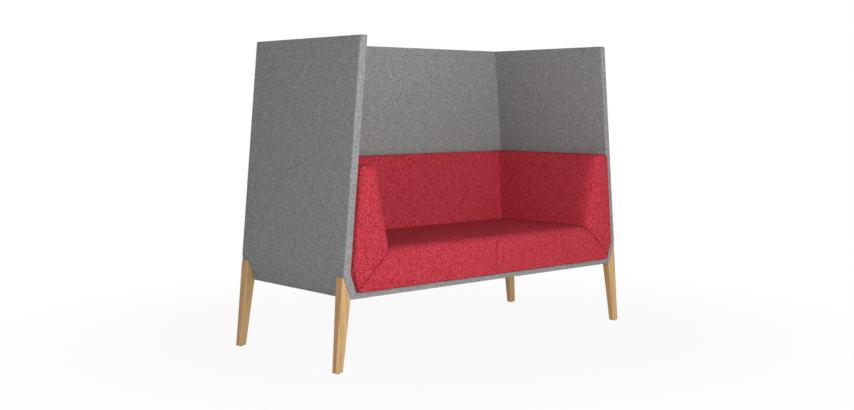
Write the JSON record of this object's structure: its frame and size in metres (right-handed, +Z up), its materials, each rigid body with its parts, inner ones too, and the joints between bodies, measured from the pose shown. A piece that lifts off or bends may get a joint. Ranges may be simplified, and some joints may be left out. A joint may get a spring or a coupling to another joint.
{
  "type": "high-backed acoustic sofa",
  "caption": "High-backed acoustic sofa: padded grey panels round back and sides, red upholstered seat, arms and back inside them, on splayed tapered wooden legs.",
  "frame": {"origin": "on the floor, under the middle of the overall box", "axes": "+Z up, +X to the right as seen from the front, the seat faces -Y"},
  "size_m": [1.5666, 0.682, 1.2],
  "materials": {
    "grey_fabric": "matte",
    "red_fabric": "matte",
    "foam": "matte",
    "felt": "matte",
    "webbing": "matte",
    "oak": "satin",
    "beech": "matte",
    "plywood": "matte",
    "zinc_steel": "satin",
    "glide_plastic": "matte"
  },
  "bodies": {
    "root": {"back_base_rails": "beech", "back_board": "plywood", "back_cover": "red_fabric", "back_foam": "foam", "back_panel_board": "plywood", "back_panel_cover": "grey_fabric", "back_panel_foam": "foam", "back_ribs": "plywood", "back_top_rails": "beech", "barrel_nuts": "zinc_steel", "base_board": "plywood", "base_cover": "grey_fabric", "base_foam": "foam", "base_screws": "zinc_steel", "connector_bolts": "zinc_steel", "left_arm_base_rails": "beech", "left_arm_board": "plywood", "left_arm_cover": "red_fabric", "left_arm_foam": "foam", "left_arm_ribs": "plywood", "left_arm_top_rails": "beech", "left_front_leg": "oak", "left_mitre_spline": "plywood", "left_panel_cover": "grey_fabric", "left_panel_foam": "foam", "left_rear_leg": "oak", "left_seat_cover": "red_fabric", "left_seat_side_rail": "beech", "left_side_board": "plywood", "leg_bolts": "zinc_steel", "leg_glides": "glide_plastic", "leg_inserts": "zinc_steel", "leg_washers": "zinc_steel", "right_arm_base_rails": "beech", "right_arm_board": "plywood", "right_arm_cover": "red_fabric", "right_arm_foam": "foam", "right_arm_ribs": "plywood", "right_arm_top_rails": "beech", "right_front_leg": "oak", "right_mitre_spline": "plywood", "right_panel_cover": "grey_fabric", "right_panel_foam": "foam", "right_rear_leg": "oak", "right_seat_cover": "red_fabric", "right_seat_side_rail": "beech", "right_side_board": "plywood", "seat_centre_rail": "beech", "seat_corner_blocks": "beech", "seat_felt": "felt", "seat_foam": "foam", "seat_front_rail": "beech", "seat_rear_rail": "beech", "seat_straps_crossways": "webbing", "seat_straps_lengthways": "webbing"}
  },
  "joints": []
}
